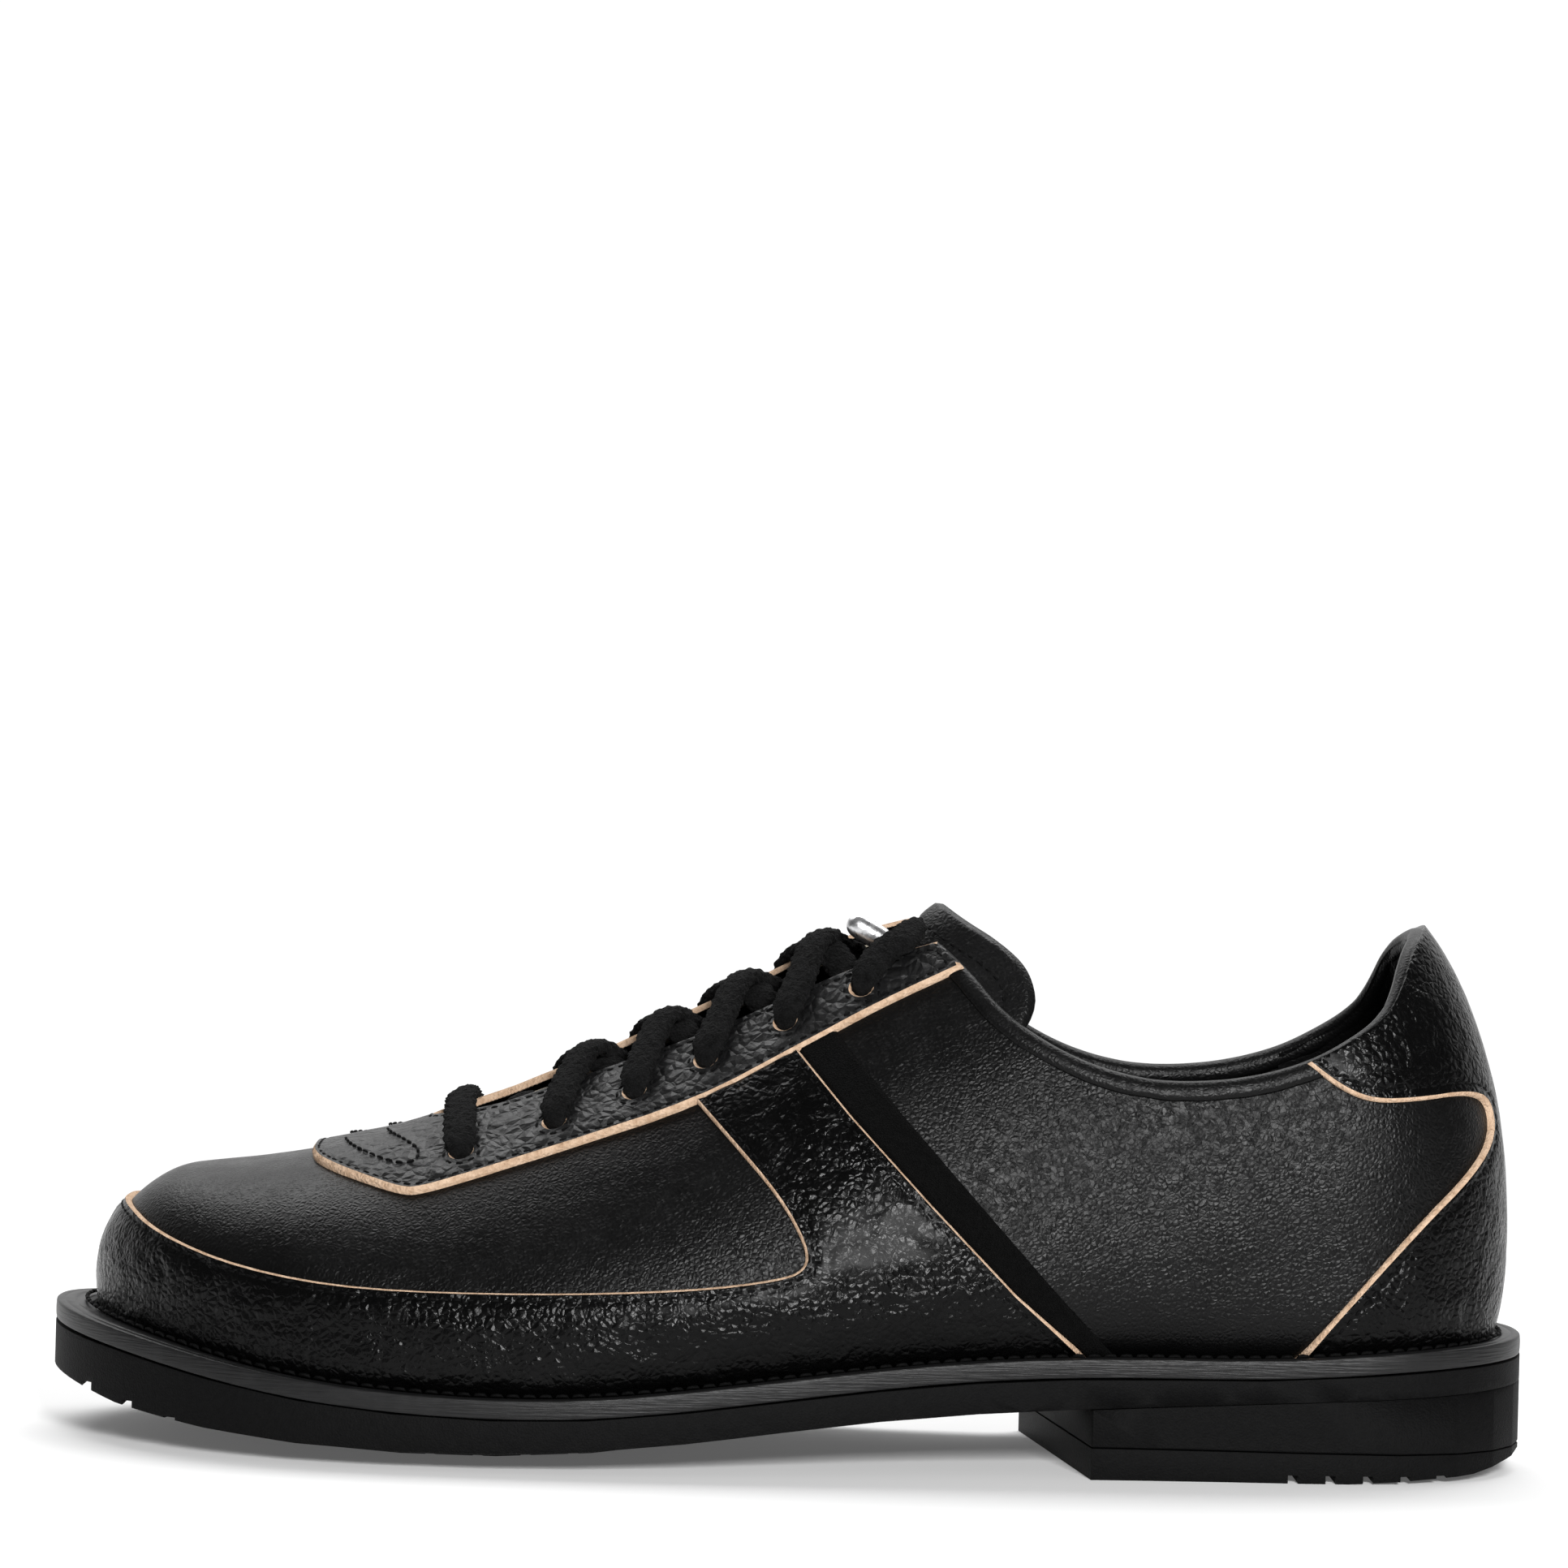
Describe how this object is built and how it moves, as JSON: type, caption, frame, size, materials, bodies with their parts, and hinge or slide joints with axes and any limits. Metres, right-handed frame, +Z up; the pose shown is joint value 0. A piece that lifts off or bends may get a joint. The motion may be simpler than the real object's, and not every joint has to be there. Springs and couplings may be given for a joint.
{
  "type": "bowling shoe",
  "caption": "Low laced leather bowling shoe, left foot: welted rubber sole with a block heel, U-shaped facing, side stripe.",
  "frame": {"origin": "centre of the shoe's bounding box in plan, on the ground plane under the heel and ball", "axes": "+X from toe to heel along the sole, +Y to the medial (inner) side, +Z up"},
  "size_m": [0.3007, 0.1097, 0.1123],
  "materials": {
    "smooth_leather": "satin",
    "gloss_leather": "glossy",
    "grained_leather": "satin",
    "lining_leather": "satin",
    "stiffener": "matte",
    "velvet": "matte",
    "rubber_sole": "matte",
    "welt": "satin",
    "cork": "matte",
    "steel": "satin",
    "insole_board": "matte",
    "lace_cotton": "matte",
    "aglet_metal": "satin"
  },
  "bodies": {
    "shoe": {"outsole": "rubber_sole", "heel_block": "rubber_sole", "heel_top_lift": "rubber_sole", "welt": "welt", "cork_filler": "cork", "steel_shank": "steel", "insole_board": "insole_board", "sock_liner": "lining_leather", "vamp": "smooth_leather", "quarter_lateral": "smooth_leather", "quarter_medial": "smooth_leather", "vamp_lining": "lining_leather", "quarter_lining_lateral": "lining_leather", "quarter_lining_medial": "lining_leather", "heel_lining": "lining_leather", "toe_puff": "stiffener", "heel_counter": "stiffener", "facing_backer": "stiffener", "facing": "grained_leather", "mudguard": "gloss_leather", "heel_foxing": "gloss_leather", "velvet_strip_lateral": "velvet", "velvet_strip_medial": "velvet", "topline_binding": "lining_leather", "lace": "lace_cotton", "aglets": "aglet_metal"},
    "tongue": {"tongue_outer": "smooth_leather", "tongue_lining": "lining_leather"}
  },
  "joints": [
    {"name": "tongue_tilt", "type": "hinge", "parent": "shoe", "child": "tongue", "pos_m": [-0.082, 0, 0.0525], "axis": [0, 1, 0], "range_deg": [0, 14], "stiffness_Nm_per_rad": 0.1, "springref_deg": -8.59}
  ]
}
